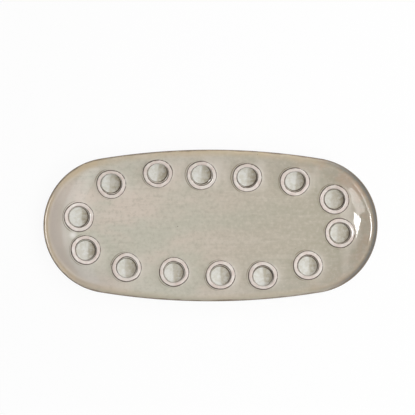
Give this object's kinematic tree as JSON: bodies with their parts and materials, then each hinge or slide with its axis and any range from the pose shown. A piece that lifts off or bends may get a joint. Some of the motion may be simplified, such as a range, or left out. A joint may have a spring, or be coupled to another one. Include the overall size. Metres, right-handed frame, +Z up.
{
  "type": "oval platter",
  "caption": "Long oval stoneware platter with a curved rim, a low foot ring, and a garland of applied clay rings that each frame a shallow well of pooled glaze.",
  "frame": {"origin": "on the table, under the middle of the platter's outline", "axes": "+X along the platter's length, +Y across it towards the far long side, +Z up out of the food side"},
  "size_m": [0.35, 0.1588, 0.024],
  "materials": {
    "body_glaze": "glossy warm grey-beige reactive glaze over stoneware, golden brown where it thins at the rim",
    "bare_stoneware": "unglazed, sanded smooth",
    "ring_glaze": "glossy pale pinkish glaze, dark where it thins along the edges",
    "pool_glaze": "thick glassy pooled glaze"
  },
  "bodies": {
    "root": {"platter_body": "body_glaze", "foot_ring": "bare_stoneware", "applied_ring_01": "ring_glaze", "applied_ring_02": "ring_glaze", "applied_ring_03": "ring_glaze", "applied_ring_04": "ring_glaze", "applied_ring_05": "ring_glaze", "applied_ring_06": "ring_glaze", "applied_ring_07": "ring_glaze", "applied_ring_08": "ring_glaze", "applied_ring_09": "ring_glaze", "applied_ring_10": "ring_glaze", "applied_ring_11": "ring_glaze", "applied_ring_12": "ring_glaze", "applied_ring_13": "ring_glaze", "applied_ring_14": "ring_glaze", "glaze_pool_01": "pool_glaze", "glaze_pool_02": "pool_glaze", "glaze_pool_03": "pool_glaze", "glaze_pool_04": "pool_glaze", "glaze_pool_05": "pool_glaze", "glaze_pool_06": "pool_glaze", "glaze_pool_07": "pool_glaze", "glaze_pool_08": "pool_glaze", "glaze_pool_09": "pool_glaze", "glaze_pool_10": "pool_glaze", "glaze_pool_11": "pool_glaze", "glaze_pool_12": "pool_glaze", "glaze_pool_13": "pool_glaze", "glaze_pool_14": "pool_glaze"}
  },
  "joints": []
}
